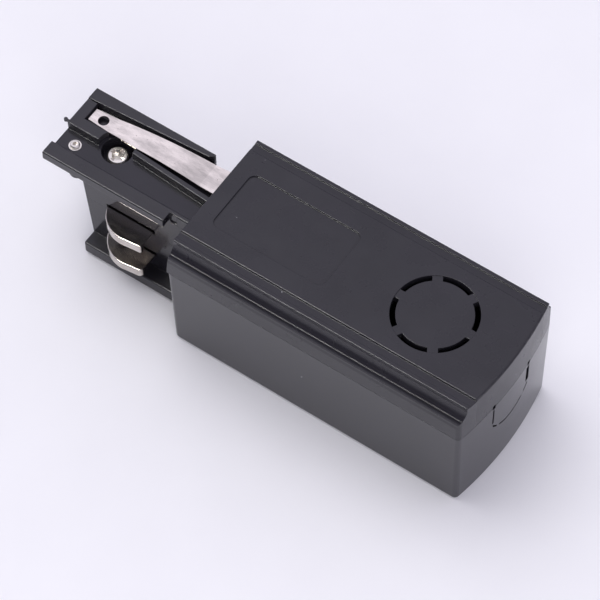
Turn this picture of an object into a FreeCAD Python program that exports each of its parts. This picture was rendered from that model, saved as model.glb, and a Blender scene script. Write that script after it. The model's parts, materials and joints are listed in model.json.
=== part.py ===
"""Live-end feed connector for a four-wire lighting track, in millimetres.

Every sub-part is drawn with X = 0 at the housing's front face, Y = 0 on the middle plane and
Z = 0 on the face that the connector rests on. The nose that enters the track points to -X, the
cable end to +X and the ceiling side to +Z. A common placement then moves the sub-parts along X,
so that the origin is at the bottom centre of the whole connector.
"""
import FreeCAD, Part
import math
import os
import re

import Sketcher

DRIVING_SIZES = {
    # housing
    "front_x": (-17.8, "where the housing's front face stands along X"),
    "body_length": (74.8, "front face to rear corners"),
    "body_width": (36.0, "widest, at the split"),
    "body_height": (36.6, "rest face to top plate"),
    "split_height": (26.0, "rest face to the seam between base and cover"),
    "seam_gap": (0.08, "gap between base and cover"),
    "wall": (2.0, "housing wall"),
    "draft_angle": (1.0, "degrees of draft on the base"),
    "front_lean": (0.78, "how far the front face leans out at the seam"),
    "lean_start": (33.1, "height where the front face starts to lean"),
    "rear_bulge": (1.95, "rise of the curved end wall"),
    "corner_round": (1.2, "upright corners"),
    "foot_round": (0.8, "bottom edges"),
    # cover
    "plate_half": (12.95, "middle plane to the edge of the top plate"),
    "band_drop": (0.4, "depth of the band beside the plate"),
    "lip_inner": (14.83, "middle plane to the inner side of the top lip"),
    "lip_outer": (15.87, "middle plane to the outer side of the top lip"),
    "lip_drop": (0.1, "height of the plate over the lip"),
    "edge_round": (0.25, "rounding of the plate and of the lip"),
    "ridge_side": (17.05, "middle plane to the ridge under the cove"),
    "bead_top": (32.8, "height of the bead's top"),
    "bead_side": (17.9, "middle plane to the bead's bulge"),
    "bead_height": (31.2, "height of the bead's bulge"),
    "panel_depth": (0.35, "depth of the blank label panel"),
    "panel_front": (4.2, "front end of the label panel"),
    "panel_length": (29.0, "length of the label panel"),
    "panel_width": (16.0, "width of the label panel"),
    "panel_bend": (1.8, "corner radius of the label panel"),
    "snap_side": (15.1, "middle plane to the outer face of a snap tab"),
    "snap_thickness": (1.2, "thickness of a snap tab"),
    "snap_length": (6.0, "length of a snap tab"),
    "snap_reach": (5.0, "how far a snap tab reaches below the seam"),
    "snap_front": (20.0, "front face to the front snap tabs"),
    "snap_rear": (48.0, "front face to the rear snap tabs"),
    "knockout_x": (56.8, "centre of the round knock-out"),
    "knockout_radius": (9.7, "outer radius of the knock-out's slots"),
    "knockout_slot": (1.25, "width of the knock-out's slots"),
    "bridge_width": (2.3, "width of a knock-out bridge"),
    "gate_half_width": (6.8, "half width of the end wall's knock-out"),
    "gate_bottom": (14.2, "lowest point of the end wall's knock-out"),
    "gate_radius": (8.3, "radius of the knock-out's round bottom"),
    "gate_slot": (0.5, "width of the end wall's slots"),
    "gate_side_low": (19.2, "lower end of the upright slots"),
    "gate_side_high": (24.8, "upper end of the upright slots"),
    # nose insert
    "nose_length": (39.5, "front face to the nose's tip"),
    "rim_lead": (0.5, "how far the near rim stands out past the tip"),
    "insert_tail": (12.0, "length of insert inside the housing"),
    "flange_half": (10.0, "half width of the upper flange"),
    "flange_under": (28.15, "underside of the upper flange"),
    "floor_top": (29.6, "top of the upper flange's floor"),
    "rim_top": (30.5, "top of the near rim"),
    "rim_width": (3.75, "width of the near rim"),
    "root_half": (7.5, "half width of the flange beside the housing"),
    "root_under": (27.0, "underside of the thick flange beside the housing"),
    "notch_front": (7.35, "front face to the latch notch"),
    "notch_rear": (5.45, "front face to the rear of the latch notch"),
    "rib_top": (31.8, "top of the ribs on the flange"),
    "bar_width": (3.3, "width of the far bar at its tip"),
    "bar_width_end": (1.4, "width of the far bar at its end"),
    "bar_end": (7.2, "front face to the end of the far bar"),
    "web_half": (7.0, "half width of the web"),
    "web_wall": (1.6, "side wall of the web"),
    "web_tip_low": (30.1, "front face to the web's tip at the foot"),
    "web_tip_high": (32.2, "front face to the web's tip at the flange"),
    "foot_half": (10.8, "half width of the foot flange"),
    "foot_top": (3.9, "top of the foot flange"),
    "foot_under": (0.55, "underside of the foot flange"),
    "insert_split": (16.85, "height of the seam in the web"),
    "spine_half": (2.2, "half thickness of the middle spine"),
    # contacts
    "blade_thickness": (1.0, "thickness of a contact blade"),
    "blade_front": (25.2, "front face to the blade's front end"),
    "blade_rear": (12.6, "front face to the blade's straight rear edge"),
    "blade_bend": (7.6, "radius of the blade's curved front"),
    "blade_taper": (0.5, "how far the blade's side draws in towards its rear"),
    "upper_reach": (12.55, "middle plane to the upper blades' outermost point"),
    "lower_reach": (13.15, "middle plane to the lower blades' outermost point"),
    "upper_blade": (17.1, "underside of the upper blades"),
    "lower_blade": (8.1, "underside of the lower blades"),
    "lip_depth": (2.5, "height of the turned-down edge of a blade"),
    "lip_width": (1.0, "width of the turned-down edge of a blade"),
    "lip_start": (8.3, "middle plane to the start of the turned-down edge"),
    "slot_gap": (0.25, "clearance under and beside a blade in its slot"),
    "slot_head": (0.55, "clearance over a blade in its slot"),
    "strip_side": (4.0, "middle plane to the middle of a contact strip"),
    "strip_thickness": (0.8, "thickness of a contact strip"),
    "strip_height": (3.95, "height of a contact strip"),
    # earth spring
    "leaf_thickness": (0.5, "thickness of the earth leaf"),
    "leaf_tip": (36.65, "front face to the tip of the earth leaf"),
    "leaf_height": (30.5, "underside of the earth leaf at both ends"),
    "leaf_rise": (0.8, "height of the hump in the earth leaf"),
    "leaf_side": (2.5, "middle plane to the leaf's near edge"),
    "leaf_front": (31.0, "front face to the front end of the leaf's hump"),
    "leaf_rear": (6.0, "front face to the rear end of the leaf's hump"),
    "leg_x": (14.0, "front face to the leg of the earth spring"),
    "leaf_hole": (1.3, "radius of the hole near the leaf's tip"),
    # screws
    "pocket_x": (26.85, "front face to the insert screw"),
    "pocket_radius": (3.6, "radius of the insert screw's pocket"),
    "pocket_floor": (26.2, "height of the pocket's floor"),
    "screw_head": (2.4, "radius of the insert screw's head"),
    "cross_turn": (-10, "degrees that the insert screw's cross is turned"),
    "screw_shank": (1.2, "radius of the insert screw's shank"),
    "lock_x": (35.4, "front face to the lock screw"),
    "window_front": (37.0, "front face to the front of the leaf's window"),
    "lock_y": (4.1, "middle plane to the lock screw"),
    "lock_bottom": (27.9, "height of the lock screw's bush"),
    "lock_screw_radius": (1.1, "radius of the lock screw"),
    # terminals
    "clamp_length": (6.0, "length of a terminal clamp"),
    "clamp_width": (4.8, "width of a terminal clamp"),
    "clamp_height": (7.0, "height of a terminal clamp"),
    "clamp_floor": (1.15, "clamp's underside to the tab that lies in it"),
    "tab_half": (1.2, "half width of a tab in its clamp"),
    "thread_radius": (1.25, "radius of a terminal screw's shank"),
    "clamp_gap": (0.35, "clearance round a clamp in the terminal block"),
    "upper_clamp_x": (16.0, "front face to the upper clamps"),
    "lower_clamp_x": (27.0, "front face to the lower clamps"),
    "earth_clamp_y": (11.3, "middle plane to the earth clamp"),
    "block_front": (13.2, "front end of the terminal block"),
    "block_step": (24.0, "where the terminal block steps down"),
    "block_rear": (35.0, "rear end of the terminal block"),
    # cable saddle
    "saddle_x": (66.0, "front face to the middle of the cable saddle"),
    "saddle_post_y": (9.5, "middle plane to a saddle screw"),
    "saddle_width": (5.0, "width of the cable saddle"),
    # fixing screws
    "insert_fixing_x": (7.5, "front face to the screws that fix the nose"),
    "insert_fixing_y": (12.0, "middle plane to the screws that fix the nose"),
    "block_fixing_x": (30.5, "front face to the screws that fix the terminal block"),
    "block_fixing_y": (11.4, "middle plane to the screws that fix the terminal block"),
    "fixing_radius": (1.0, "radius of a fixing screw's shank"),
    "post_radius": (2.4, "radius of a fixing screw's post"),
}

# Undersides of the terminal clamps, and the height of the tabs that lie in them.
UPPER_CLAMP = "(upper_blade + blade_thickness - strip_height - clamp_floor)"
LOWER_CLAMP = "(lower_blade + blade_thickness - strip_height - clamp_floor)"
TAB_HEIGHT = UPPER_CLAMP + " + clamp_floor"

# Name, side, blade, blade reach, blade corner, clamp place and clamp height of each pole.
POLES = (("near_upper", -1, "upper_blade", "upper_reach", "0.5", "upper_clamp_x", UPPER_CLAMP),
         ("near_lower", -1, "lower_blade", "lower_reach", "1.1", "lower_clamp_x", LOWER_CLAMP),
         ("far_upper", 1, "upper_blade", "upper_reach", "0.5", "upper_clamp_x", UPPER_CLAMP),
         ("far_lower", 1, "lower_blade", "lower_reach", "1.1", "lower_clamp_x", LOWER_CLAMP))

doc = FreeCAD.newDocument("track_feed")
sheet = doc.addObject("Spreadsheet::Sheet", "Sizes")


def fill_sheet():
    """Writes one row for each driving dimension: name, value and meaning."""
    for row, (alias, (number, meaning)) in enumerate(DRIVING_SIZES.items(), start=1):
        sheet.set("A%d" % row, alias)
        sheet.set("B%d" % row, str(number))
        sheet.set("C%d" % row, meaning)
        sheet.setAlias("B%d" % row, alias)
    doc.recompute()


def full(expression):
    """Names the sheet in front of every driving dimension in an expression."""
    def named(word):
        return "Sizes." + word.group(0) if word.group(0) in DRIVING_SIZES else word.group(0)
    return re.sub(r"[a-z][a-z_]*", named, str(expression))


def value(expression):
    return float(sheet.evalExpression(full(expression)))


def bind(thing, **expressions):
    """Binds properties to expressions; a double underscore stands for a dot."""
    for name, expression in expressions.items():
        thing.setExpression(name.replace("__", "."), full(expression))


# ---- sketches and PartDesign features -------------------------------------------------------

def new_body(name):
    return doc.addObject("PartDesign::Body", name)


def origin_plane(body, role):
    return next(plane for plane in body.Origin.OriginFeatures if plane.Role == role)


def bend_centre(start, end, radius):
    """Centre of the arc from start to end; a positive radius turns counter-clockwise."""
    chord = end - start
    half = chord.Length / 2
    height = math.sqrt(max(radius * radius - half * half, 0.0))
    across = FreeCAD.Vector(-chord.y, chord.x, 0).normalize()
    return start + chord * 0.5 + across * math.copysign(height, radius)


def edge_geometry(start, end, bend):
    """A line, or an arc when a bend radius is given, between two corners."""
    if bend is None:
        return Part.LineSegment(start, end)
    centre = bend_centre(start, end, bend)
    circle = Part.Circle(centre, FreeCAD.Vector(0, 0, 1), abs(bend))
    first, last = (start, end) if bend > 0 else (end, start)
    return Part.ArcOfCircle(circle, circle.parameter(first), circle.parameter(last))


def outline(body, name, plane, offset, corners, bends=None):
    """A closed sketch through the corners; bends gives the radius of an edge that is an arc."""
    bends = bends or {}
    sketch = body.newObject("Sketcher::SketchObject", name)
    sketch.AttachmentSupport = (origin_plane(body, plane), [""])
    sketch.MapMode = "FlatFace"
    bind(sketch, AttachmentOffset__Base__z=offset)
    points = [FreeCAD.Vector(value(x), value(y), 0) for x, y in corners]
    count = len(points)
    ends = {}
    for index in range(count):
        radius = value(bends[index]) if index in bends else None
        sketch.addGeometry(edge_geometry(points[index], points[(index + 1) % count], radius))
        ends[index] = (1, 2) if radius is None or radius > 0 else (2, 1)
    for index in range(count):
        following = (index + 1) % count
        sketch.addConstraint(Sketcher.Constraint(
            "Coincident", index, ends[index][1], following, ends[following][0]))
    for index, (x, y) in enumerate(corners):
        start = ends[index][0]
        for kind, expression in (("DistanceX", x), ("DistanceY", y)):
            number = sketch.addConstraint(Sketcher.Constraint(
                kind, -1, 1, index, start, value(expression)))
            sketch.setExpression("Constraints[%d]" % number, full(expression))
    for index, bend in bends.items():
        number = sketch.addConstraint(Sketcher.Constraint("Radius", index, abs(value(bend))))
        sign = "" if value(bend) > 0 else "-"
        sketch.setExpression("Constraints[%d]" % number, sign + "(" + full(bend) + ")")
    return sketch


def rectangle(x_low, x_high, y_low, y_high):
    return [(x_low, y_low), (x_high, y_low), (x_high, y_high), (x_low, y_high)]


def pad(body, sketch, length, **properties):
    feature = body.newObject("PartDesign::Pad", sketch.Name + "_pad")
    feature.Profile = sketch
    for name, setting in properties.items():
        setattr(feature, name, setting)
    bind(feature, Length=length)
    return feature


def slab(body, name, corners, low, high, bends=None, **properties):
    """Adds a plan outline between two heights."""
    sketch = outline(body, name, "XY_Plane", low, corners, bends)
    return pad(body, sketch, "(%s) - (%s)" % (high, low), **properties)


def recess(body, name, corners, low, high, bends=None):
    """Cuts a plan outline between two heights, and checks that it removes material."""
    doc.recompute()
    before = body.Shape.Volume
    sketch = outline(body, name, "XY_Plane", high, corners, bends)
    feature = body.newObject("PartDesign::Pocket", name + "_pocket")
    feature.Profile = sketch
    bind(feature, Length="(%s) - (%s)" % (high, low))
    doc.recompute()
    if body.Shape.Volume >= before:
        raise RuntimeError(name + " cuts nothing")
    return feature


def round_edges(body, name, radius, chosen):
    """Fillets the edges of the body's tip for which chosen(edge) is true."""
    doc.recompute()
    base = body.Tip
    names = ["Edge%d" % (index + 1) for index, edge in enumerate(base.Shape.Edges) if chosen(edge)]
    if not names:
        raise RuntimeError(name + " finds no edge")
    feature = body.newObject("PartDesign::Fillet", name)
    feature.Base = (base, names)
    bind(feature, Radius=radius)
    doc.recompute()
    return feature


# ---- Part primitives and booleans -----------------------------------------------------------

def box(name, x, y, z, length, width, height):
    shape = doc.addObject("Part::Box", name)
    bind(shape, Length=length, Width=width, Height=height)
    bind(shape, Placement__Base__x=x, Placement__Base__y=y, Placement__Base__z=z)
    return shape


def cylinder(name, x, y, z, radius, height):
    shape = doc.addObject("Part::Cylinder", name)
    bind(shape, Radius=radius, Height=height)
    bind(shape, Placement__Base__x=x, Placement__Base__y=y, Placement__Base__z=z)
    return shape


def cone(name, x, y, z, radius_low, radius_high, height):
    shape = doc.addObject("Part::Cone", name)
    bind(shape, Radius1=radius_low, Radius2=radius_high, Height=height)
    bind(shape, Placement__Base__x=x, Placement__Base__y=y, Placement__Base__z=z)
    return shape


def rod(name, x, y, z, radius, length):
    """A cylinder that lies along X."""
    shape = cylinder(name, x, y, z, radius, length)
    shape.Placement.Rotation = FreeCAD.Rotation(FreeCAD.Vector(0, 1, 0), 90)
    return shape


def fuse(name, shapes):
    joined = doc.addObject("Part::MultiFuse", name)
    joined.Shapes = shapes
    return joined


def cut(name, base, tools):
    """Takes the tools away from the base, and keeps the tools apart from each other."""
    result = doc.addObject("Part::Cut", name)
    result.Base = base
    result.Tool = tools[0] if len(tools) == 1 else fuse(name + "_tools", tools)
    return result


def common(name, shapes):
    result = doc.addObject("Part::MultiCommon", name)
    result.Shapes = shapes
    return result


SUB_PARTS = []


def sub_part(shape, label):
    """Gives a finished shape its label and its place in the connector's own frame."""
    shape.Label = label
    bind(shape, Placement__Base__x="front_x")
    SUB_PARTS.append(shape)
    return shape


# ---- housing --------------------------------------------------------------------------------

def plan_corners(front, side, rear):
    """Plan of the housing; its edge 1 is the curved end wall."""
    return [(front, "-(%s)" % side), (rear, "-(%s)" % side), (rear, side), (front, side)]


def end_radius(side):
    """Radius of the end wall from its half chord and its rise."""
    return "((%s) * (%s) + rear_bulge * rear_bulge) / (2 * rear_bulge)" % (side, side)


def is_bottom(edge):
    return all(abs(vertex.Z) < 1e-4 for vertex in edge.Vertexes)


def gate_lips(owner):
    """Two short slots that cross the seam above the end wall's knock-out."""
    return [box("%s_lip_%s" % (owner, side), "body_length - wall", y, "split_height - 0.7",
                "4 * wall", "2 * gate_slot", "1.5")
            for side, y in (("near", "-gate_half_width - gate_slot"),
                            ("far", "gate_half_width - 1.5 * gate_slot"))]


def gate_slots():
    """Upright and curved slots that outline the end wall's knock-out."""
    start, depth = "body_length - wall", "4 * wall"
    height = "gate_side_high - gate_side_low"
    sides = [box("gate_side_near", start, "-gate_half_width - gate_slot / 2", "gate_side_low",
                 depth, "gate_slot", height),
             box("gate_side_far", start, "gate_half_width - 2 * gate_slot", "gate_side_low",
                 depth, "2.5 * gate_slot", height)]
    centre = "gate_bottom + gate_radius"
    ring = cut("gate_ring", rod("gate_outer", start, "0", centre, "gate_radius", depth),
               [rod("gate_inner", start, "0", centre, "gate_radius - gate_slot", depth)])
    floor_half, corner_low, corner_high = "4.3", "5.2", "6.8"
    corner = "(%s) - (%s)" % (corner_high, corner_low)
    windows = [box("gate_floor", start, "-" + floor_half, "gate_bottom", depth,
                   "2 * " + floor_half, "gate_radius / 2"),
               box("gate_corner_near", start, "-" + corner_high, "gate_bottom", depth, corner,
                   "gate_radius / 2"),
               box("gate_corner_far", start, corner_low, "gate_bottom", depth, corner,
                   "gate_radius / 2")]
    curved = common("gate_curves", [ring, fuse("gate_windows", windows)])
    return sides + [curved]


def housing_base():
    """Open lower shell with a notch for the nose and a knock-out in its curved end wall."""
    body = new_body("base_shell")
    side = "body_width / 2"
    shell = outline(body, "base_plan", "XY_Plane", "split_height",
                    plan_corners("-front_lean", side, "body_length"), {1: end_radius(side)})
    pad(body, shell, "split_height", Reversed=True, TaperAngle=-value("draft_angle"))
    round_edges(body, "base_corners", "corner_round", is_upright_corner)
    round_edges(body, "base_foot", "foot_round", is_bottom)
    inner = "body_width / 2 - wall - 0.45"
    recess(body, "base_cavity", plan_corners("wall - 0.3", inner, "body_length - wall - 0.45"),
           "wall", "split_height", {1: end_radius(inner)})
    recess(body, "web_notch", rectangle("-4", "wall + 1", "-web_half - 0.15", "web_half + 0.15"),
           "foot_top", "split_height")
    posts = [cylinder("saddle_post_%s" % name, "saddle_x", sign + "saddle_post_y", "wall - 0.5",
                      "2.6", "12.5") for name, sign in (("near", "-"), ("far", ""))]
    for name, sign in (("near", "-"), ("far", "")):
        posts.append(cylinder("insert_post_" + name, "insert_fixing_x",
                              sign + "insert_fixing_y", "wall - 0.5", "post_radius", "6.5"))
        posts.append(cylinder("block_post_" + name, "block_fixing_x", sign + "block_fixing_y",
                              "wall - 0.5", "post_radius", "4.5"))
    posts.append(box("saddle_seat", "saddle_x - 3", "-5", "wall - 0.5", "6", "10", "10.5"))
    posts.append(box("front_ear", "-0.5", "root_half + 0.15", "split_height - 1", "wall + 0.2",
                     "1.7", "leaf_height - split_height + 0.4"))
    shell_with_posts = fuse("base_with_posts", [body] + posts)
    holes = [cylinder("saddle_hole_%s" % name, "saddle_x", sign + "saddle_post_y", "wall + 1",
                      "1.3", "20") for name, sign in (("near", "-"), ("far", ""))]
    for name, sign in (("near", "-"), ("far", "")):
        holes.append(cylinder("insert_hole_" + name, "insert_fixing_x",
                              sign + "insert_fixing_y", "wall + 0.5", "fixing_radius + 0.05",
                              "20"))
        holes.append(cylinder("block_hole_" + name, "block_fixing_x", sign + "block_fixing_y",
                              "wall + 0.5", "fixing_radius + 0.05", "20"))
    tools = holes + gate_slots() + gate_lips("base")
    return sub_part(cut("housing_base", shell_with_posts, tools), "housing_base")


def is_upright_corner(edge):
    """True for the four outer upright edges of the base."""
    return all(abs(abs(v.Y) - value("body_width / 2")) < 0.6 for v in edge.Vertexes) and \
        abs(edge.Vertexes[0].Z - edge.Vertexes[-1].Z) > value("split_height") / 2


# ---- top cover ------------------------------------------------------------------------------

def cover_section():
    """Section of the cover: bead, ridge, cove, lip, sunk band and plate, drawn round both sides."""
    lip_top, band_top = "body_height - lip_drop", "body_height - band_drop"
    right = [("body_width / 2", "split_height + seam_gap"), ("bead_side", "bead_height"),
             ("ridge_side + 0.15", "bead_top"), ("ridge_side", "bead_top"),
             ("ridge_side", "lean_start"), ("lip_outer", lip_top + " - 2 * edge_round"),
             ("lip_outer", lip_top + " - edge_round"), ("lip_outer - edge_round", lip_top),
             ("lip_inner", lip_top), ("lip_inner", band_top), ("plate_half", band_top),
             ("plate_half", "body_height - edge_round"),
             ("plate_half - edge_round", "body_height")]
    left = [("-(%s)" % y, z) for y, z in reversed(right)]
    bends = {0: "25", 1: "1.8", 4: "-2.9", 6: "edge_round", 11: "edge_round"}
    last = 2 * len(right) - 2
    mirrored = {last - edge: radius for edge, radius in bends.items()}
    return right + left, {**bends, **mirrored}


def cover_block():
    """The cover's outer form: its section, its plan with the curved end, and its leaning front."""
    section = new_body("cover_section")
    corners, bends = cover_section()
    profile = outline(section, "cover_profile", "YZ_Plane", "-2", corners, bends)
    pad(section, profile, "body_length + 6")
    plan = new_body("cover_plan")
    slab(plan, "cover_outline", plan_corners("-front_lean", "body_width / 2", "body_length"),
         "split_height - 1", "body_height", {1: end_radius("body_width / 2")})
    round_edges(plan, "cover_corners", "corner_round", is_rear_corner)
    round_edges(plan, "cover_rear_edge", "band_drop", is_top_rear)
    front = new_body("cover_front")
    low, rear = "split_height + seam_gap", "body_length + 4"
    lean = outline(front, "front_profile", "XZ_Plane", "0",
                   [("-front_lean", low), (rear, low), (rear, "body_height"),
                    ("edge_round", "body_height"), ("0", "body_height - edge_round"),
                    ("0", "lean_start")], {3: "edge_round"})
    pad(front, lean, "2 * body_width", Midplane=True)
    return common("cover_block", [section, plan, front])


def is_rear_corner(edge):
    """True for the two upright edges at the rear of the cover's plan."""
    return all(v.X > value("body_length") - 0.1 for v in edge.Vertexes) and \
        edge.BoundBox.ZLength > 1 and edge.BoundBox.YLength < 0.01


def is_top_rear(edge):
    """True for the curved top edge of the end wall and its rounded corners."""
    return edge.BoundBox.ZMin > value("body_height") - 0.01 and \
        edge.BoundBox.XMin > value("body_length") - 2 and edge.BoundBox.YLength > 0.1


def label_panel():
    """A shallow blank panel with rounded corners."""
    body = new_body("label_panel")
    front, rear = "panel_front", "(panel_front + panel_length)"
    half, bend = "panel_width / 2", "panel_bend"
    corners = [(front + " + " + bend, "-" + half), (rear + " - " + bend, "-" + half),
               (rear, "-%s + %s" % (half, bend)), (rear, "%s - %s" % (half, bend)),
               (rear + " - " + bend, half), (front + " + " + bend, half),
               (front, "%s - %s" % (half, bend)), (front, "-%s + %s" % (half, bend))]
    slab(body, "panel_plan", corners, "body_height - panel_depth", "body_height + 2",
         {1: bend, 3: bend, 5: bend, 7: bend})
    return body


def knockout_ring():
    """Six slots round a disc, between bridges at every 60 degrees."""
    low, height = "body_height - wall - 1", "wall + 3"
    disc = cylinder("knockout_inner", "knockout_x", "0", low,
                    "knockout_radius - knockout_slot", height)
    outer = cylinder("knockout_outer", "knockout_x", "0", low, "knockout_radius", height)
    bridges = []
    for turn in (0, 60, 120):
        bridge = box("knockout_bridge_%d" % turn, "0", "0", low, "4 * knockout_radius",
                     "bridge_width", height)
        angle = math.radians(turn)
        reach, half = "2 * knockout_radius", "bridge_width / 2"
        bind(bridge,
             Placement__Base__x="knockout_x - %s * %r + %s * %r"
             % (reach, math.cos(angle), half, math.sin(angle)),
             Placement__Base__y="0 - %s * %r - %s * %r"
             % (reach, math.sin(angle), half, math.cos(angle)))
        bridge.Placement.Rotation = FreeCAD.Rotation(FreeCAD.Vector(0, 0, 1), turn)
        bridges.append(bridge)
    return cut("knockout_ring", outer, [disc] + bridges)


def top_cover():
    """Snap-on cover with bands along its edges, a blank panel and a round knock-out."""
    inside = [box("cover_hollow_low", "wall", "-bead_side + wall", "split_height - 1",
                  "body_length - 2 * wall - 0.3", "2 * (bead_side - wall)",
                  "bead_height - split_height + 1.3"),
              box("cover_hollow_high", "wall", "-lip_outer + wall", "bead_height",
                  "body_length - 2 * wall - 0.3", "2 * (lip_outer - wall)",
                  "body_height - wall - bead_height"),
              box("nose_way", "-3", "-root_half - 0.6", "split_height - 1", "wall + 4",
                  "2 * root_half + 2.6", "rib_top + 2 - split_height"),
              cylinder("disc_recess", "knockout_x", "0", "body_height - 0.15",
                       "knockout_radius", "2")]
    tools = inside + [knockout_ring(), label_panel()] + gate_lips("cover")
    tabs = []
    for side, y in (("near", "-snap_side"), ("far", "snap_side - snap_thickness")):
        for end in ("front", "rear"):
            tabs.append(box("snap_%s_%s" % (side, end), "snap_" + end, y,
                            "split_height - snap_reach", "snap_length", "snap_thickness",
                            "snap_reach + 6.5"))
    hollow = cut("cover_shell", cover_block(), tools)
    return sub_part(fuse("top_cover", [hollow] + tabs), "top_cover")


# ---- nose insert ----------------------------------------------------------------------------

def lean_web_tip(body, name):
    """Cuts the sloping tip of the web, between the foot and the flange."""
    doc.recompute()
    before = body.Shape.Volume
    sketch = outline(body, name, "XZ_Plane", "0",
                     [("-web_tip_high - 2", "foot_top"), ("-web_tip_low", "foot_top"),
                      ("-web_tip_high", "flange_under"), ("-web_tip_high - 2", "flange_under")])
    feature = body.newObject("PartDesign::Pocket", name + "_pocket")
    feature.Profile = sketch
    feature.Midplane = True
    bind(feature, Length="2 * web_half + 1")
    doc.recompute()
    if body.Shape.Volume >= before:
        raise RuntimeError(name + " cuts nothing")


def hollow_web(body, name, low, high):
    """Two channels for the contact strips, one on each side of the spine."""
    for side, near, far in (("near", "-web_half + web_wall", "-spine_half"),
                            ("far", "spine_half", "web_half - web_wall")):
        recess(body, "%s_%s" % (name, side),
               rectangle("-blade_front - 0.8", "insert_tail + 1", near, far), low, high)


def blade_windows(body, name, low, high):
    """Windows in both side walls of the web, where the blades come out."""
    for side, near, far in (("near", "-web_half - 1", "-web_half + web_wall + 0.3"),
                            ("far", "web_half - web_wall - 0.3", "web_half + 1")):
        recess(body, "%s_%s" % (name, side),
               rectangle("-blade_front - slot_gap", "-blade_rear + slot_gap", near, far),
               low, high)


def insert_upper():
    """Upper half of the nose: flange with rim, ribs and bar over the upper part of the web."""
    body = new_body("upper_half")
    tip, half = "-nose_length", "flange_half"
    slab(body, "upper_web", rectangle("-web_tip_high - 0.5", "insert_tail", "-web_half",
                                      "web_half"), "insert_split", "flange_under")
    lean_web_tip(body, "upper_tip")
    slab(body, "flange", [(tip, "-" + half), ("-notch_front", "-" + half),
                          ("-notch_front", "-root_half"), ("insert_tail", "-root_half"),
                          ("insert_tail", "root_half"), ("-bar_end", "root_half"),
                          ("-bar_end", half), (tip, half)], "flange_under", "floor_top")
    slab(body, "near_rim", [(tip + " - rim_lead", "-" + half), ("-notch_front", "-" + half),
                            ("-notch_front", "-root_half"), ("insert_tail", "-root_half"),
                            ("insert_tail", "-%s + rim_width" % half),
                            (tip + " - rim_lead", "-%s + rim_width" % half)],
         "flange_under", "rim_top")
    slab(body, "flange_root", rectangle("-notch_front", "insert_tail", "-root_half",
                                        "root_half"), "root_under", "flange_under")
    bar_side = half + " - bar_width"
    slab(body, "tip_rib", [(tip, "-1.1"), ("-31.1", "-1.1"), ("-30.4", "1.9"),
                           ("-window_front", "1.9"), ("-window_front", bar_side),
                           (tip, bar_side)], "floor_top", "rib_top", {1: "-4.4"})
    slab(body, "far_bar", [(tip, bar_side), ("-bar_end - 1.2", half + " - bar_width_end"),
                           ("-bar_end", half + " - bar_width_end + 0.8"), ("-bar_end", half),
                           (tip, half)], "floor_top", "rib_top + 0.25")
    slab(body, "slanting_rail", [("-22.7", "0.1"), ("4", "-1.6"), ("4", "-0.3"),
                                 ("-22.9", "1.5")], "floor_top", "rib_top")
    round_edges(body, "rim_edges", "0.35", lambda edge: is_long_top(edge, "rim_top"))
    round_edges(body, "rib_edges", "0.25", lambda edge: is_long_top(edge, "rib_top"))
    round_edges(body, "bar_edges", "0.2", lambda edge: is_long_top(edge, "rib_top + 0.25"))
    recess(body, "latch_notch", rectangle("-notch_front + 0.1", "-notch_rear", "-root_half - 1",
                                          "-root_half + 0.3"), "root_under + 0.3", "rim_top + 1")
    hollow_web(body, "upper_channel", "insert_split - 1", "upper_blade + blade_thickness + 1")
    blade_windows(body, "upper_window", "insert_split - 1",
                  "upper_blade + blade_thickness + slot_head")
    boss = cylinder("lock_boss", "-lock_x", "-lock_y", "19.8", "2", "flange_under - 19.6")
    tools = [cylinder("screw_pocket", "-pocket_x", "0", "pocket_floor", "pocket_radius", "10"),
             cylinder("screw_way", "-pocket_x", "0", "insert_split - 1", "screw_shank + 0.05",
                      "12"),
             cylinder("lock_seat", "-lock_x", "-lock_y", "lock_bottom",
                      "lock_screw_radius + 0.35", "5"),
             cylinder("lock_way", "-lock_x", "-lock_y", "19", "lock_screw_radius + 0.1", "12")]
    nub = cylinder("gate_nub", "-nose_length - 1.2", "-0.2", "30.6", "0.45", "0.6")
    stem = box("gate_stem", "-nose_length - 1.2", "-0.45", "30.65", "1.5", "0.5", "0.5")
    return sub_part(cut("insert_upper", fuse("upper_solid", [body, boss, nub, stem]), tools),
                    "insert_upper")


def is_long_top(edge, height):
    """True for an edge that runs along the nose for over 5 mm at a height."""
    level = value(height)
    return edge.BoundBox.XLength > 5 and all(abs(v.Z - level) < 1e-4 for v in edge.Vertexes)


def insert_lower():
    """Lower half of the nose: foot flange, hollow web, and the root that sits in the housing."""
    body = new_body("lower_half")
    slab(body, "lower_web", rectangle("-web_tip_high - 0.5", "insert_tail", "-web_half",
                                      "web_half"), "foot_top", "insert_split")
    lean_web_tip(body, "lower_tip")
    slab(body, "foot", rectangle("-web_tip_low", "-0.45", "-foot_half", "foot_half"),
         "foot_under", "foot_top")
    round_edges(body, "foot_ends", "0.5", lambda edge: is_foot_corner(edge))
    round_edges(body, "foot_edges", "0.3", lambda edge: is_foot_edge(edge))
    slab(body, "root", rectangle("wall - 0.25", "insert_tail", "-9", "9"), "wall", "10")
    slab(body, "root_ears", rectangle("insert_fixing_x - 2.5", "insert_fixing_x + 2.5",
                                      "-insert_fixing_y - post_radius",
                                      "insert_fixing_y + post_radius"), "8", "10")
    hollow_web(body, "lower_channel", "lower_blade + blade_thickness - strip_height - 0.5",
               "insert_split")
    blade_windows(body, "lower_window", "lower_blade - slot_gap",
                  "lower_blade + blade_thickness + slot_head")
    tools = [cylinder("screw_thread", "-pocket_x", "0", "8.5", "screw_shank", "10")]
    tools += [cylinder("ear_hole_" + name, "insert_fixing_x", sign + "insert_fixing_y", "7",
                       "fixing_radius + 0.1", "4") for name, sign in (("near", "-"), ("far", ""))]
    return sub_part(cut("insert_lower", body, tools), "insert_lower")


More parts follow.
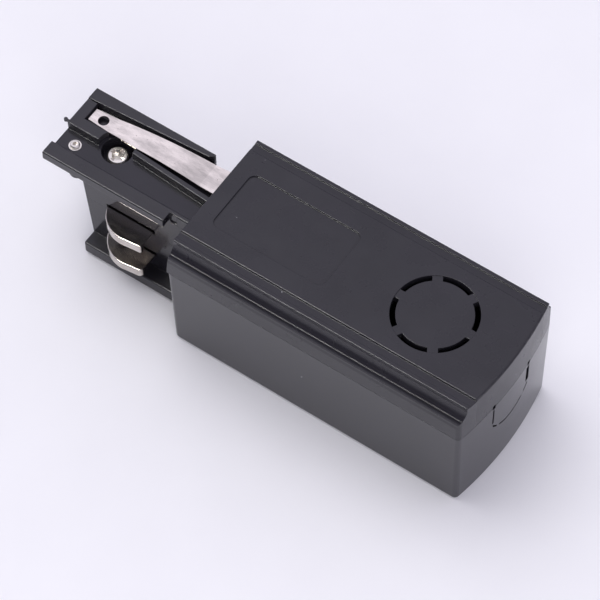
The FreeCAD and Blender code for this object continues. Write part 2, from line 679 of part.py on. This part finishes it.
def is_foot_corner(edge):
    """True for the foot's two upright corners at the nose's tip."""
    return all(abs(v.X + value("web_tip_low")) < 1e-4 and abs(abs(v.Y) - value("foot_half")) < 1e-4
               for v in edge.Vertexes)


def is_foot_edge(edge):
    """True for the foot's outer edges on its upper and lower faces."""
    levels = (value("foot_top"), value("foot_under"))
    bounds = edge.BoundBox
    flat = bounds.ZLength < 1e-4 and min(abs(bounds.ZMin - level) for level in levels) < 1e-4
    return flat and bounds.XLength > 5 and abs(bounds.YMin) > value("foot_half") - 0.6 \
        and bounds.YLength < 1e-4


# ---- contacts -------------------------------------------------------------------------------

def curved_front(reach, distance, inset):
    """Where the blade's curved front ends, and how far forward it stands at a distance off the
    middle plane when it is drawn in by an inset; both from the front face."""
    centre = "((%s) - blade_bend)" % reach
    tangent = "(blade_front - sqrt(blade_bend ^ 2 - (web_half - %s) ^ 2))" % centre
    forward = "sqrt((blade_bend - %s) ^ 2 - (%s - %s) ^ 2)" % (inset, distance, centre)
    return tangent, "%s + %s" % (tangent, forward)


def contact(label, side, blade, reach, corner, clamp_x):
    """A blade with a turned-down edge, and the strip that carries it back to its clamp."""
    body = new_body(label + "_stamping")
    top = "%s + blade_thickness" % blade
    bottom = "%s - strip_height" % top
    middle = "%d * strip_side" % side
    slab(body, label + "_strip", rectangle("-blade_front", clamp_x + " - 0.5",
                                           middle + " - strip_thickness / 2",
                                           middle + " + strip_thickness / 2"), bottom, top)
    tangent, rim = curved_front(reach, "lip_start", "0")
    inner_rim = curved_front(reach, "lip_start", "lip_width")[1]
    edge_end = "(%s - blade_taper)" % reach
    rounded = [("-blade_rear - " + corner, edge_end), ("-blade_rear", edge_end + " - " + corner)]
    root = "strip_side - strip_thickness / 2"
    sheet = [("-blade_front", root), ("-blade_front", "web_half"), ("-(%s)" % tangent, reach)]
    sheet += rounded + [("-blade_rear", root)]
    lip = [("-(%s)" % rim, "lip_start"), ("-(%s)" % tangent, reach)]
    lip += rounded + [("-blade_rear", edge_end + " - lip_width - " + corner),
                      ("-(%s)" % tangent, reach + " - lip_width"),
                      ("-(%s)" % inner_rim, "lip_start")]
    out = "%d * " % side
    turn = "%d * " % -side
    slab(body, label + "_blade", mirrored_across(sheet, out), blade, top,
         {1: turn + "blade_bend", 3: turn + corner})
    slab(body, label + "_lip", mirrored_across(lip, out), top + " - lip_depth", top,
         {0: turn + "blade_bend", 2: turn + corner, 5: out + "(blade_bend - lip_width)"})
    slab(body, label + "_tab", rectangle(clamp_x + " - 2", clamp_x + " + clamp_length - 0.2",
                                         middle + " - tab_half", middle + " + tab_half"),
         bottom, bottom + " + strip_thickness")
    return sub_part(body, label)


def mirrored_across(corners, out):
    """Corners of an outline on the side that out stands for, 1 * or -1 *."""
    return [(x, "%s(%s)" % (out, y)) for x, y in corners]


def earth_spring():
    """A tapering leaf with a low hump, and a leg that goes down to the earth clamp."""
    side = new_body("leaf_side_view")
    under, over = "leaf_height", "leaf_height + leaf_thickness"
    chord = "((leaf_front - leaf_rear) / 2)"
    hump = "(%s * %s + leaf_rise * leaf_rise) / (2 * leaf_rise)" % (chord, chord)
    leg_end = "leg_x + leaf_thickness"
    profile = outline(side, "leaf_profile", "XZ_Plane", "0",
                      [("-leaf_tip", under), ("-leaf_front", under), ("-leaf_rear", under),
                       ("leg_x", under), ("leg_x", TAB_HEIGHT), (leg_end, TAB_HEIGHT),
                       (leg_end, over), ("-leaf_rear", over), ("-leaf_front", over),
                       ("-leaf_tip", over)], {1: "-(%s)" % hump, 7: hump})
    pad(side, profile, "40", Midplane=True)
    plan = new_body("leaf_plan")
    slab(plan, "leaf_outline", [("-leaf_tip", "leaf_side + 0.08"), ("-23", "leaf_side - 0.75"),
                                ("4", "leaf_side - 0.75"), ("11", "9.5"), ("15", "9.5"),
                                ("15", "13.1"), ("10", "13.1"), ("2", "8.9"),
                                ("-leaf_tip", "leaf_side + 3.35")], "10", "35")
    tab = box("leaf_tab", "leg_x", "earth_clamp_y - tab_half", TAB_HEIGHT, "7.8",
              "2 * tab_half", "leaf_thickness")
    hole = cylinder("leaf_eye", "-33.5", "leaf_side + 1.6", "25", "leaf_hole", "12")
    leaf = cut("earth_leaf", common("leaf_strip", [side, plan]), [hole])
    return sub_part(fuse("earth_spring", [leaf, tab]), "earth_spring")


# ---- screws and terminals -------------------------------------------------------------------

def cross_recess(name, x, y, top, reach, depth, width="0.6", turn=0):
    """Two crossed bars that cut a screw head's recess."""
    arm, half = "2 * (%s)" % reach, "-(%s) / 2" % width
    bars = [box(name + "_along", "-(%s)" % reach, half, "0", arm, width, "3"),
            box(name + "_across", half, "-(%s)" % reach, "0", width, arm, "3")]
    cross = fuse(name, bars)
    bind(cross, Placement__Base__x=x, Placement__Base__y=y,
         Placement__Base__z="%s - %s" % (top, depth))
    cross.Placement.Rotation = FreeCAD.Rotation(FreeCAD.Vector(0, 0, 1), turn)
    return cross


def insert_screw():
    """Screw with a broad cross recess that clamps the two halves of the nose together."""
    x, floor, height = "-pocket_x", "pocket_floor", "1.8"
    top = "%s + %s" % (floor, height)
    shank = cylinder("insert_shank", x, "0", "9", "screw_shank", "18")
    rim = cylinder("insert_head", x, "0", floor, "screw_head", height + " - 0.3")
    crown = cone("insert_crown", x, "0", top + " - 0.3", "screw_head", "screw_head - 0.3", "0.3")
    head = fuse("insert_screw_solid", [shank, rim, crown])
    recess_tools = [cross_recess("insert_cross", x, "0", top, "1.85", "1.1", "0.96",
                                 value("cross_turn")),
                    cone("insert_cross_cone", x, "0", top + " - 1.2", "0.5", "1.35", "1.25")]
    return sub_part(cut("insert_screw", head, recess_tools), "insert_screw")


def lock_insert():
    """Thin metal bush in which the lock screw turns."""
    outer = cylinder("lock_bush", "-lock_x", "-lock_y", "lock_bottom",
                     "lock_screw_radius + 0.35", "1.85")
    inner = cylinder("lock_bore", "-lock_x", "-lock_y", "lock_bottom - 1",
                     "lock_screw_radius + 0.05", "4")
    return sub_part(cut("lock_insert", outer, [inner]), "lock_insert")


def lock_set_screw():
    """Set screw that is turned down to lock the nose in the track."""
    radius = "lock_screw_radius"
    shank = cylinder("lock_shank", "-lock_x", "-lock_y", "20.4", radius, "9.7")
    point = cone("lock_point", "-lock_x", "-lock_y", "19.6", "0.5", radius, "0.8")
    crown = cone("lock_crown", "-lock_x", "-lock_y", "30.1", radius, radius + " - 0.25", "0.25")
    screw = fuse("lock_screw_solid", [shank, point, crown])
    socket = doc.addObject("Part::Prism", "lock_socket")
    socket.Polygon = 6
    bind(socket, Circumradius="0.6", Height="3")
    bind(socket, Placement__Base__x="-lock_x", Placement__Base__y="-lock_y",
         Placement__Base__z="29.5")
    return sub_part(cut("lock_set_screw", screw, [socket]), "lock_set_screw")


def terminal_clamp(label, x, y, bottom):
    """Square brass cage with a window for the wire and a threaded roof."""
    cage = box(label + "_cage", x, "%s - clamp_width / 2" % y, bottom, "clamp_length",
               "clamp_width", "clamp_height")
    window = box(label + "_window", "%s - 1" % x, "%s - 1.6" % y, bottom + " + 1.1",
                 "clamp_length + 2", "3.2", "3.5")
    thread = cylinder(label + "_thread", x + " + clamp_length / 2", y, bottom + " + 4",
                      "thread_radius + 0.05", "4")
    return sub_part(cut(label, cage, [window, thread]), label)


def terminal_screw(label, x, y, bottom):
    """Slotted screw that presses the wire down in its clamp."""
    middle = x + " + clamp_length / 2"
    shank = cylinder(label + "_shank", middle, y, bottom + " + 4.2", "thread_radius", "5.2")
    head = cylinder(label + "_head", middle, y, bottom + " + 9.3", "2.1", "1.6")
    slot = box(label + "_slot", middle + " - 3", "%s - 0.3" % y, bottom + " + 10", "6", "0.6",
               "2")
    return sub_part(cut(label, fuse(label + "_solid", [shank, head]), [slot]), label)


def terminal_block():
    """Stepped insulating block with a pocket for each of the five clamps."""
    tall = box("block_tall", "block_front", "-7.9", "wall", "block_step - block_front", "15.8",
               "18")
    low = box("block_low", "block_step - 1", "-7.9", "wall", "block_rear - block_step + 1",
              "15.8", "9.6")
    wing = box("block_wing", "block_front", "7", "wall", "block_step - block_front", "8.1", "18")
    ears = box("block_ears", "block_fixing_x - 2.5", "-block_fixing_y - post_radius", "6", "5",
               "2 * (block_fixing_y + post_radius)", "2")
    tools = []
    for side, y in (("near", "-strip_side"), ("far", "strip_side")):
        tools += clamp_pocket("upper_" + side, "upper_clamp_x", y, UPPER_CLAMP, "block_step")
        tools += clamp_pocket("lower_" + side, "lower_clamp_x", y, LOWER_CLAMP, "block_rear")
        tools.append(box("upper_way_" + side, "10", y + " - 1.6", UPPER_CLAMP + " + 0.7",
                         "upper_clamp_x - 9", "3.2", "15"))
        tools.append(box("lower_way_" + side, "10", y + " - 1.6", LOWER_CLAMP + " + 0.7",
                         "lower_clamp_x - 9", "3.2", "4.9"))
    tools += clamp_pocket("earth", "upper_clamp_x", "earth_clamp_y", UPPER_CLAMP, "block_step")
    tools.append(box("earth_way", "10", "9.1", UPPER_CLAMP + " + 0.7", "upper_clamp_x - 9",
                     "4.4", "15"))
    tools += [cylinder("block_way_" + name, "block_fixing_x", sign + "block_fixing_y", "5",
                       "fixing_radius + 0.1", "5") for name, sign in (("near", "-"), ("far", ""))]
    return sub_part(cut("terminal_block", fuse("block_solid", [tall, low, wing, ears]), tools),
                    "terminal_block")


def clamp_pocket(name, x, y, bottom, face):
    """Pocket round a clamp, open at the top, with a round way in for the wire."""
    pocket = box(name + "_pocket", x + " - clamp_gap", "%s - clamp_width / 2 - clamp_gap" % y,
                 bottom + " - clamp_gap", "clamp_length + 2 * clamp_gap",
                 "clamp_width + 2 * clamp_gap", "30")
    return [pocket, rod(name + "_entry", face + " - 3", y, bottom + " + 2.9", "1.5", "5")]


def cable_saddle():
    """Bar with a hollow underside that is screwed down over the supply cable."""
    bar = box("saddle_bar", "saddle_x - saddle_width / 2", "-saddle_post_y - 3", "18.5",
              "saddle_width", "2 * (saddle_post_y + 3)", "2.8")
    hollow = rod("saddle_hollow", "saddle_x - 4", "0", "13", "7", "8")
    holes = [cylinder("saddle_way_%s" % name, "saddle_x", sign + "saddle_post_y", "17", "1.3",
                      "6") for name, sign in (("near", "-"), ("far", ""))]
    return sub_part(cut("cable_saddle", bar, [hollow] + holes), "cable_saddle")


def pan_screws(label, x, y, under_head, shank_radius, length, head_radius):
    """Two equal pan-head screws, one on each side of the middle plane."""
    screws = []
    for side, sign in (("near", "-"), ("far", "")):
        name = "%s_%s" % (label, side)
        place = sign + y
        shank = cylinder(name + "_shank", x, place, "%s - %s" % (under_head, length),
                         shank_radius, length)
        head = cylinder(name + "_head", x, place, under_head, head_radius, "1.4")
        screws.append(cut(name, fuse(name + "_solid", [shank, head]),
                          [cross_recess(name + "_cross", x, place, under_head + " + 1.4",
                                        head_radius + " * 0.6", "0.8")]))
    pair = doc.addObject("Part::Compound", label)
    pair.Links = screws
    return sub_part(pair, label)


def all_sub_parts():
    housing_base()
    top_cover()
    insert_upper()
    insert_lower()
    insert_screw()
    lock_insert()
    lock_set_screw()
    for pole, side, blade, reach, corner, clamp_x, bottom in POLES:
        contact("contact_" + pole, side, blade, reach, corner, clamp_x)
        terminal_clamp("clamp_" + pole, clamp_x, "%d * strip_side" % side, bottom)
        terminal_screw("terminal_screw_" + pole, clamp_x, "%d * strip_side" % side, bottom)
    earth_spring()
    terminal_clamp("clamp_earth", "upper_clamp_x", "earth_clamp_y", UPPER_CLAMP)
    terminal_screw("terminal_screw_earth", "upper_clamp_x", "earth_clamp_y", UPPER_CLAMP)
    terminal_block()
    cable_saddle()
    pan_screws("saddle_screws", "saddle_x", "saddle_post_y", "21.3", "1.25", "11", "2.3")
    pan_screws("insert_fixing_screws", "insert_fixing_x", "insert_fixing_y", "10",
               "fixing_radius", "6", "1.9")
    pan_screws("block_fixing_screws", "block_fixing_x", "block_fixing_y", "8",
               "fixing_radius", "5", "1.9")


def check_document():
    """Stops if any object has failed, or a sub-part has no valid shape."""
    for thing in doc.Objects:
        if "Invalid" in thing.State or "Error" in thing.State:
            raise RuntimeError("%s is %s" % (thing.Name, thing.State))
    for shape in SUB_PARTS:
        if shape.Shape.isNull() or not shape.Shape.isValid():
            raise RuntimeError(shape.Label + " has no valid shape")


def write_sub_parts():
    os.makedirs("parts", exist_ok=True)
    for shape in SUB_PARTS:
        shape.Shape.exportStep("parts/%s.step" % shape.Label)
        print("%-26s solids %d  volume %9.2f" % (shape.Label, len(shape.Shape.Solids),
                                                 shape.Shape.Volume))


fill_sheet()
all_sub_parts()
doc.recompute()
check_document()
write_sub_parts()
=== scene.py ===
"""Looks of the live-end feed connector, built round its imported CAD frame."""
import json
import math
import bmesh
import bpy
from mathutils import Matrix, Vector

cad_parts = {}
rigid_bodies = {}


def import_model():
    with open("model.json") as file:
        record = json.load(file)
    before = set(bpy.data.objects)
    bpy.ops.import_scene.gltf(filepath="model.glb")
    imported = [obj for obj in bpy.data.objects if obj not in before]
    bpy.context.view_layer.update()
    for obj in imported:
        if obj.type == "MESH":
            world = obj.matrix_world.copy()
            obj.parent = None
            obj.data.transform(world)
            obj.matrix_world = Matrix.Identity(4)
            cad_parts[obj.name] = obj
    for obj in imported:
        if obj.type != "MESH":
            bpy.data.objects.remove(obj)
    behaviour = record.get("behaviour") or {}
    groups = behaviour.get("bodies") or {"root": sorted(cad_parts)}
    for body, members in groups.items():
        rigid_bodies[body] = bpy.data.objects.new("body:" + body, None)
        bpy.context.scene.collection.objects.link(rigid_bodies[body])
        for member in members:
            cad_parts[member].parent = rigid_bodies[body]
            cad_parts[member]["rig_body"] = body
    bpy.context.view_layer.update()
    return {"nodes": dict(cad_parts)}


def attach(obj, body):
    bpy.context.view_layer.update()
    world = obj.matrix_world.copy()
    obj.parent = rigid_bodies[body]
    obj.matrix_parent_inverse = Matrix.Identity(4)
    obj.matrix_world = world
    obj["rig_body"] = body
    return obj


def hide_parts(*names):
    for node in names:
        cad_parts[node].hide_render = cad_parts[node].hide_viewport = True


MM = 0.001
BEVEL_SAMPLES = 6
SHARP = math.radians(38)  # an edge that turns by more than this is sharp, and gets rounded
FLAT = math.radians(0.5)  # faces that meet under this angle become one before rounding
WELD = 0.001 * MM

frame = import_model()
nodes = frame["nodes"]


# ---- node helpers ---------------------------------------------------------------------------

def new_material(name):
    """An empty material with a Principled shader; gives the material, its tree and the shader."""
    material = bpy.data.materials.new(name)
    material.use_nodes = True
    tree = material.node_tree
    tree.nodes.clear()
    out = tree.nodes.new("ShaderNodeOutputMaterial")
    shader = tree.nodes.new("ShaderNodeBsdfPrincipled")
    tree.links.new(shader.outputs["BSDF"], out.inputs["Surface"])
    return material, tree, shader


def place(tree):
    """Position on the object, which stands at the frame's origin, in metres."""
    return tree.nodes.new("ShaderNodeTexCoord").outputs["Object"]


def noise(tree, scale, detail=4.0, roughness=0.6, stretch=None):
    """Solid noise; scale is in cells per metre, and stretch shortens it along each axis."""
    texture = tree.nodes.new("ShaderNodeTexNoise")
    texture.inputs["Scale"].default_value = scale
    texture.inputs["Detail"].default_value = detail
    texture.inputs["Roughness"].default_value = roughness
    vector = place(tree)
    if stretch:
        mapping = tree.nodes.new("ShaderNodeMapping")
        mapping.inputs["Scale"].default_value = stretch
        tree.links.new(vector, mapping.inputs["Vector"])
        vector = mapping.outputs["Vector"]
    tree.links.new(vector, texture.inputs["Vector"])
    return texture.outputs["Fac"]


def axis(tree, letter, mirrored=False):
    """One coordinate of the place, or its distance from the middle plane."""
    split = tree.nodes.new("ShaderNodeSeparateXYZ")
    tree.links.new(place(tree), split.inputs["Vector"])
    value = split.outputs[letter]
    return combine(tree, "ABSOLUTE", value) if mirrored else value


def combine(tree, operation, first, second=None):
    """A Math node on sockets or plain numbers."""
    node = tree.nodes.new("ShaderNodeMath")
    node.operation = operation
    for socket, value in zip(node.inputs, (first, second)):
        if isinstance(value, (int, float)):
            socket.default_value = value
        elif value is not None:
            tree.links.new(value, socket)
    return node.outputs["Value"]


def ramp(tree, value, stops):
    """Maps a value to colours; stops are (place, colour) pairs."""
    node = tree.nodes.new("ShaderNodeValToRGB")
    elements = node.color_ramp.elements
    while len(elements) < len(stops):
        elements.new(0.5)
    for element, (where, colour) in zip(elements, stops):
        element.position = where
        element.color = (*colour, 1.0)
    tree.links.new(value, node.inputs["Fac"])
    return node.outputs["Color"]


def span(tree, value, low, high, to_low=0.0, to_high=1.0):
    """Maps the range low to high onto another one, and holds its ends outside."""
    node = tree.nodes.new("ShaderNodeMapRange")
    for name, number in (("From Min", low), ("From Max", high),
                         ("To Min", to_low), ("To Max", to_high)):
        node.inputs[name].default_value = number
    tree.links.new(value, node.inputs["Value"])
    return node.outputs["Result"]


def specks(tree, cells, radius, share):
    """Sparse dots: 1 inside a dot. There are so many cells per metre, the radius is in cells,
    and share is the part of the cells that hold a dot."""
    cell = tree.nodes.new("ShaderNodeTexVoronoi")
    cell.inputs["Scale"].default_value = cells
    tree.links.new(place(tree), cell.inputs["Vector"])
    split = tree.nodes.new("ShaderNodeSeparateColor")
    tree.links.new(cell.outputs["Color"], split.inputs["Color"])
    dot = combine(tree, "LESS_THAN", cell.outputs["Distance"], radius)
    return combine(tree, "MULTIPLY", dot, combine(tree, "LESS_THAN", split.outputs["Red"], share))


def tint(tree, colour, factor, other):
    """Mixes a plain colour over another where the factor is 1."""
    node = tree.nodes.new("ShaderNodeMix")
    node.data_type = "RGBA"
    tree.links.new(factor, node.inputs["Factor"])
    tree.links.new(colour, node.inputs["A"])
    node.inputs["B"].default_value = (*other, 1.0)
    return node.outputs["Result"]


def bump(tree, shader, value, depth, edge=0.0):
    """Bump of a depth in metres, with the shading softened over edges by a radius."""
    node = tree.nodes.new("ShaderNodeBump")
    node.inputs["Strength"].default_value = 1.0
    node.inputs["Distance"].default_value = depth
    tree.links.new(value, node.inputs["Height"])
    if edge:
        soft = tree.nodes.new("ShaderNodeBevel")
        soft.samples = BEVEL_SAMPLES
        soft.inputs["Radius"].default_value = edge
        tree.links.new(soft.outputs["Normal"], node.inputs["Normal"])
    tree.links.new(node.outputs["Normal"], shader.inputs["Normal"])


# ---- materials ------------------------------------------------------------------------------

BLACK = (0.0158, 0.0150, 0.0200)
DUST = (0.42, 0.42, 0.44)
SOFT_EDGE = 0.2 * MM
FLOW_DEPTH = 0.003 * MM

# Where the cover's and the insert's grained zones start and end, each as a short blend.
PLATE_EDGE = (12.93 * MM, 13.0 * MM)
COVE_SIDE = (15.9 * MM, 16.0 * MM)
COVE_FOOT = (33.2 * MM, 33.4 * MM)
RAISED_TOPS = (30.0 * MM, 30.3 * MM)
FOOT_TOP = (4.2 * MM, 4.0 * MM)
ABOVE_ALL = (1.0, 2.0)


def zone_cover(tree):
    """1 on the grained parts of the cover: its bands, lips and beads; 0 on plate and cove."""
    across = axis(tree, "Y", mirrored=True)
    outside = span(tree, across, *PLATE_EDGE)
    cove = combine(tree, "MULTIPLY", span(tree, across, *COVE_SIDE),
                   span(tree, axis(tree, "Z"), *COVE_FOOT))
    return combine(tree, "SUBTRACT", outside, cove)


def zone_insert(tree):
    """1 on the tops of the rim, ribs and bar and on the foot; 0 on the floor and the web."""
    height = axis(tree, "Z")
    raised = span(tree, height, *RAISED_TOPS)
    foot = span(tree, height, *FOOT_TOP)
    return combine(tree, "MAXIMUM", raised, foot)


def zone_none(tree):
    """1 nowhere on the object, because the zone starts far above it."""
    return span(tree, axis(tree, "Z"), *ABOVE_ALL)


def moulded_black(name, zone, ior, gloss, grain_gloss, grain_depth, dust):
    """Black injection-moulded plastic: a smooth skin with faint flow marks and dust, and a
    sparkling grain in the zone."""
    material, tree, shader = new_material(name)
    shader.inputs["IOR"].default_value = ior
    grained = zone(tree)
    mottle = noise(tree, scale=90, detail=5, roughness=0.65)
    colour = ramp(tree, mottle, [(0.3, tuple(0.88 * part for part in BLACK)),
                                 (0.7, tuple(1.14 * part for part in BLACK))])
    dots = specks(tree, cells=900, radius=0.11, share=dust)
    tree.links.new(tint(tree, colour, dots, DUST), shader.inputs["Base Color"])
    cloud = span(tree, noise(tree, scale=140, detail=4, roughness=0.55), 0.3, 0.7, -0.03, 0.03)
    base = span(tree, grained, 0.0, 1.0, gloss, grain_gloss)
    tree.links.new(combine(tree, "ADD", base, cloud), shader.inputs["Roughness"])
    grain = combine(tree, "MULTIPLY", noise(tree, scale=6500, detail=2, roughness=0.6), grained)
    flow = combine(tree, "MULTIPLY", noise(tree, scale=120, detail=3, roughness=0.5),
                   FLOW_DEPTH / grain_depth)
    bump(tree, shader, combine(tree, "ADD", grain, flow), grain_depth, SOFT_EDGE)
    return material


def plated_metal(name, tint_low, tint_high, gloss, wave_depth, streak=(1, 1, 1)):
    """Metal with a cloudy tone, small dark spots and slight waviness; streak stretches both.
    Where the tone's range is wide, as on the spring steel, the cloudy tone is a painted
    reflection.
    """
    material, tree, shader = new_material(name)
    shader.inputs["Metallic"].default_value = 1.0
    cloud = noise(tree, scale=260, detail=5, roughness=0.65, stretch=streak)
    colour = ramp(tree, cloud, [(0.36, tint_low), (0.62, tint_high)])
    spots = specks(tree, cells=1500, radius=0.16, share=0.05)
    tree.links.new(tint(tree, colour, spots, tuple(0.45 * part for part in tint_low)),
                   shader.inputs["Base Color"])
    tree.links.new(span(tree, cloud, 0.3, 0.7, gloss + 0.1, gloss), shader.inputs["Roughness"])
    waves = noise(tree, scale=330, detail=3, roughness=0.5, stretch=streak)
    bump(tree, shader, waves, wave_depth)
    return material


def paint(material, *names):
    """Gives CAD nodes a material in place of the one that they came with."""
    for name in names:
        nodes[name].data.materials.clear()
        nodes[name].data.materials.append(material)


def grey_moulding():
    """Grey insulating plastic of the terminal block and the cable saddle."""
    material, tree, shader = new_material("terminal_plastic")
    mottle = noise(tree, scale=120, detail=5, roughness=0.65)
    colour = ramp(tree, mottle, [(0.3, (0.33, 0.33, 0.32)), (0.7, (0.42, 0.42, 0.41))])
    tree.links.new(colour, shader.inputs["Base Color"])
    cloud = noise(tree, scale=300, detail=5, roughness=0.7)
    tree.links.new(span(tree, cloud, 0.3, 0.7, 0.4, 0.52), shader.inputs["Roughness"])
    bump(tree, shader, noise(tree, scale=2400, detail=2, roughness=0.5), 0.01 * MM)
    return material


def rounded(radius, *names):
    """Makes a copy of each node with really rounded edges, which stands for the node."""
    for name in names:
        mesh = nodes[name].data.copy()
        mesh.name = name + "_rounded"
        if "custom_normal" in mesh.attributes:
            mesh.attributes.remove(mesh.attributes["custom_normal"])
        form = bmesh.new()
        form.from_mesh(mesh)
        bmesh.ops.remove_doubles(form, verts=form.verts, dist=WELD)
        bmesh.ops.dissolve_limit(form, angle_limit=FLAT, verts=form.verts, edges=form.edges)
        for face in form.faces:
            face.smooth = True
        for edge in form.edges:
            edge.smooth = not edge.is_manifold or edge.calc_face_angle(0.0) < SHARP
        form.to_mesh(mesh)
        form.free()
        piece = bpy.data.objects.new(name + "_rounded", mesh)
        bpy.context.scene.collection.objects.link(piece)
        edges = piece.modifiers.new("edges", "BEVEL")
        edges.width = radius
        edges.segments = 2
        edges.limit_method = "ANGLE"
        edges.angle_limit = SHARP
        edges.use_clamp_overlap = False
        edges.harden_normals = True
        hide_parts(name)
        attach(piece, nodes[name]["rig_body"])


cover_black = moulded_black("cover_plastic", zone_cover, ior=1.46, gloss=0.28,
                            grain_gloss=0.25, grain_depth=0.02 * MM, dust=0.006)
base_black = moulded_black("housing_plastic", zone_none, ior=1.6, gloss=0.15,
                           grain_gloss=0.15, grain_depth=0.012 * MM, dust=0.012)
insert_black = moulded_black("insert_plastic", zone_insert, ior=1.5, gloss=0.16,
                             grain_gloss=0.3, grain_depth=0.02 * MM, dust=0.0)
nickel = plated_metal("nickel_contact", (0.60, 0.55, 0.50), (0.74, 0.70, 0.65), gloss=0.10,
                      wave_depth=0.004 * MM, streak=(1, 3, 1))
bright = plated_metal("nickel_screw", (0.72, 0.68, 0.63), (0.88, 0.85, 0.80), gloss=0.24,
                      wave_depth=0.01 * MM)
# The spring steel's cloudy tone runs from dark grey to near white: a painted reflection, with
# blotchy grey reflections painted into its base colour.
steel = plated_metal("spring_steel", (0.60, 0.56, 0.51), (0.97, 0.90, 0.81), gloss=0.08,
                     wave_depth=0.012 * MM, streak=(0.5, 1.5, 1))
zinc = plated_metal("zinc_screw", (0.58, 0.58, 0.60), (0.74, 0.74, 0.75), gloss=0.22,
                    wave_depth=0.01 * MM)
brass = plated_metal("clamp_brass", (0.66, 0.50, 0.26), (0.80, 0.63, 0.36), gloss=0.2,
                     wave_depth=0.01 * MM)

POLES = ("near_upper", "near_lower", "far_upper", "far_lower")
CONTACTS = ["contact_" + pole for pole in POLES]
paint(cover_black, "top_cover")
paint(base_black, "housing_base")
paint(insert_black, "insert_upper", "insert_lower")
paint(nickel, *CONTACTS)
paint(bright, "insert_screw", "lock_insert", "lock_set_screw")
paint(steel, "earth_spring")
paint(zinc, "saddle_screws", "insert_fixing_screws", "block_fixing_screws",
      "terminal_screw_earth", *("terminal_screw_" + pole for pole in POLES))
paint(brass, "clamp_earth", *("clamp_" + pole for pole in POLES))
paint(grey_moulding(), "terminal_block", "cable_saddle")
rounded(0.25 * MM, *CONTACTS)


# ---- studio ---------------------------------------------------------------------------------

AIM = Vector((-0.0003, 0.0058, 0.0))
CAMERA_DISTANCE = 0.7972
CAMERA_HEADING = math.radians(125.87)
CAMERA_PITCH = math.radians(57.45)
CAMERA_ROLL = math.radians(-1.483)
LENS = 213.6
LAMP_COLOUR = (1.0, 0.99, 0.96)
ROOM_COLOUR = (0.93, 0.90, 1.07, 1.0)
ROOM_STRENGTH = 0.64
FLOOR_HALF = 1.5
FLOOR_TOP = -0.05 * MM  # just under the housing, so that the two faces are never in one plane


def add_camera():
    """Long lens looking down over the cable end, in the photograph's direction."""
    data = bpy.data.cameras.new("camera")
    data.lens = LENS
    data.clip_end = 5.0
    camera = bpy.data.objects.new("camera", data)
    bpy.context.scene.collection.objects.link(camera)
    level = math.cos(CAMERA_PITCH)
    forward = Vector((math.cos(CAMERA_HEADING) * level, math.sin(CAMERA_HEADING) * level,
                      -math.sin(CAMERA_PITCH)))
    facing = forward.to_track_quat("-Z", "Y").to_matrix().to_4x4()
    roll = Matrix.Rotation(CAMERA_ROLL, 4, "Z")
    camera.matrix_world = Matrix.Translation(AIM - forward * CAMERA_DISTANCE) @ facing @ roll
    bpy.context.scene.camera = camera


def add_area(name, toward, distance, size, power, glossy, diffuse):
    """Round soft light that faces the object from a direction. It is seen in reflections only
    if glossy is set, and lights the surfaces themselves only if diffuse is set."""
    data = bpy.data.lights.new(name, "AREA")
    data.shape = "DISK"
    data.size = size
    data.energy = power
    data.color = LAMP_COLOUR
    light = bpy.data.objects.new(name, data)
    light.visible_glossy = glossy
    light.visible_diffuse = diffuse
    bpy.context.scene.collection.objects.link(light)
    direction = Vector(toward).normalized()
    light.matrix_world = (Matrix.Translation(direction * distance)
                          @ direction.to_track_quat("Z", "Y").to_matrix().to_4x4())


def lobe(tree, toward, edge, middle, strength):
    """A strength that rises from the edge of a cone to its middle, given as cosines."""
    facing = tree.nodes.new("ShaderNodeVectorMath")
    facing.operation = "DOT_PRODUCT"
    facing.inputs[1].default_value = Vector(toward).normalized()
    direction = tree.nodes.new("ShaderNodeTexCoord").outputs["Generated"]
    tree.links.new(direction, facing.inputs[0])
    return span(tree, facing.outputs["Value"], edge, middle, 0.0, strength)


def add_world():
    """Even studio surroundings, brighter at the back left and darker low in front."""
    world = bpy.data.worlds.new("studio")
    bpy.context.scene.world = world
    world.use_nodes = True
    tree = world.node_tree
    background = tree.nodes["Background"]
    background.inputs["Color"].default_value = ROOM_COLOUR
    bright = lobe(tree, (-0.6, 0.42, 0.68), edge=0.80, middle=0.98, strength=0.3)
    dark = lobe(tree, (-0.25, -0.9, 0.35), edge=0.55, middle=0.93, strength=-0.5)
    total = combine(tree, "ADD", combine(tree, "ADD", bright, dark), ROOM_STRENGTH)
    tree.links.new(total, background.inputs["Strength"])


def add_floor():
    """Large pale sheet of paper with a faint speckle."""
    mesh = bpy.data.meshes.new("floor")
    corners = [(x * FLOOR_HALF, y * FLOOR_HALF, FLOOR_TOP)
               for x, y in ((-1, -1), (1, -1), (1, 1), (-1, 1))]
    mesh.from_pydata(corners, [], [(0, 1, 2, 3)])
    floor = bpy.data.objects.new("floor", mesh)
    bpy.context.scene.collection.objects.link(floor)
    material, tree, shader = new_material("floor_paper")
    speckle = noise(tree, scale=40, detail=3, roughness=0.5)
    colour = ramp(tree, speckle, [(0.3, (0.86, 0.86, 0.89)), (0.7, (0.88, 0.88, 0.91))])
    tree.links.new(colour, shader.inputs["Base Color"])
    shader.inputs["Roughness"].default_value = 0.9
    mesh.materials.append(material)


add_camera()
add_world()
add_floor()
add_area("key", (-0.3, 0.1, 0.95), distance=1.0, size=0.9, power=4.3,
         glossy=False, diffuse=True)
add_area("fill", (0.5, -0.65, 0.57), distance=1.0, size=0.8, power=3.0,
         glossy=False, diffuse=True)
add_area("edge_light", (-0.315, -0.12, 0.94), distance=0.9, size=0.3, power=6.0,
         glossy=True, diffuse=False)
bpy.context.scene.view_settings.view_transform = "Standard"
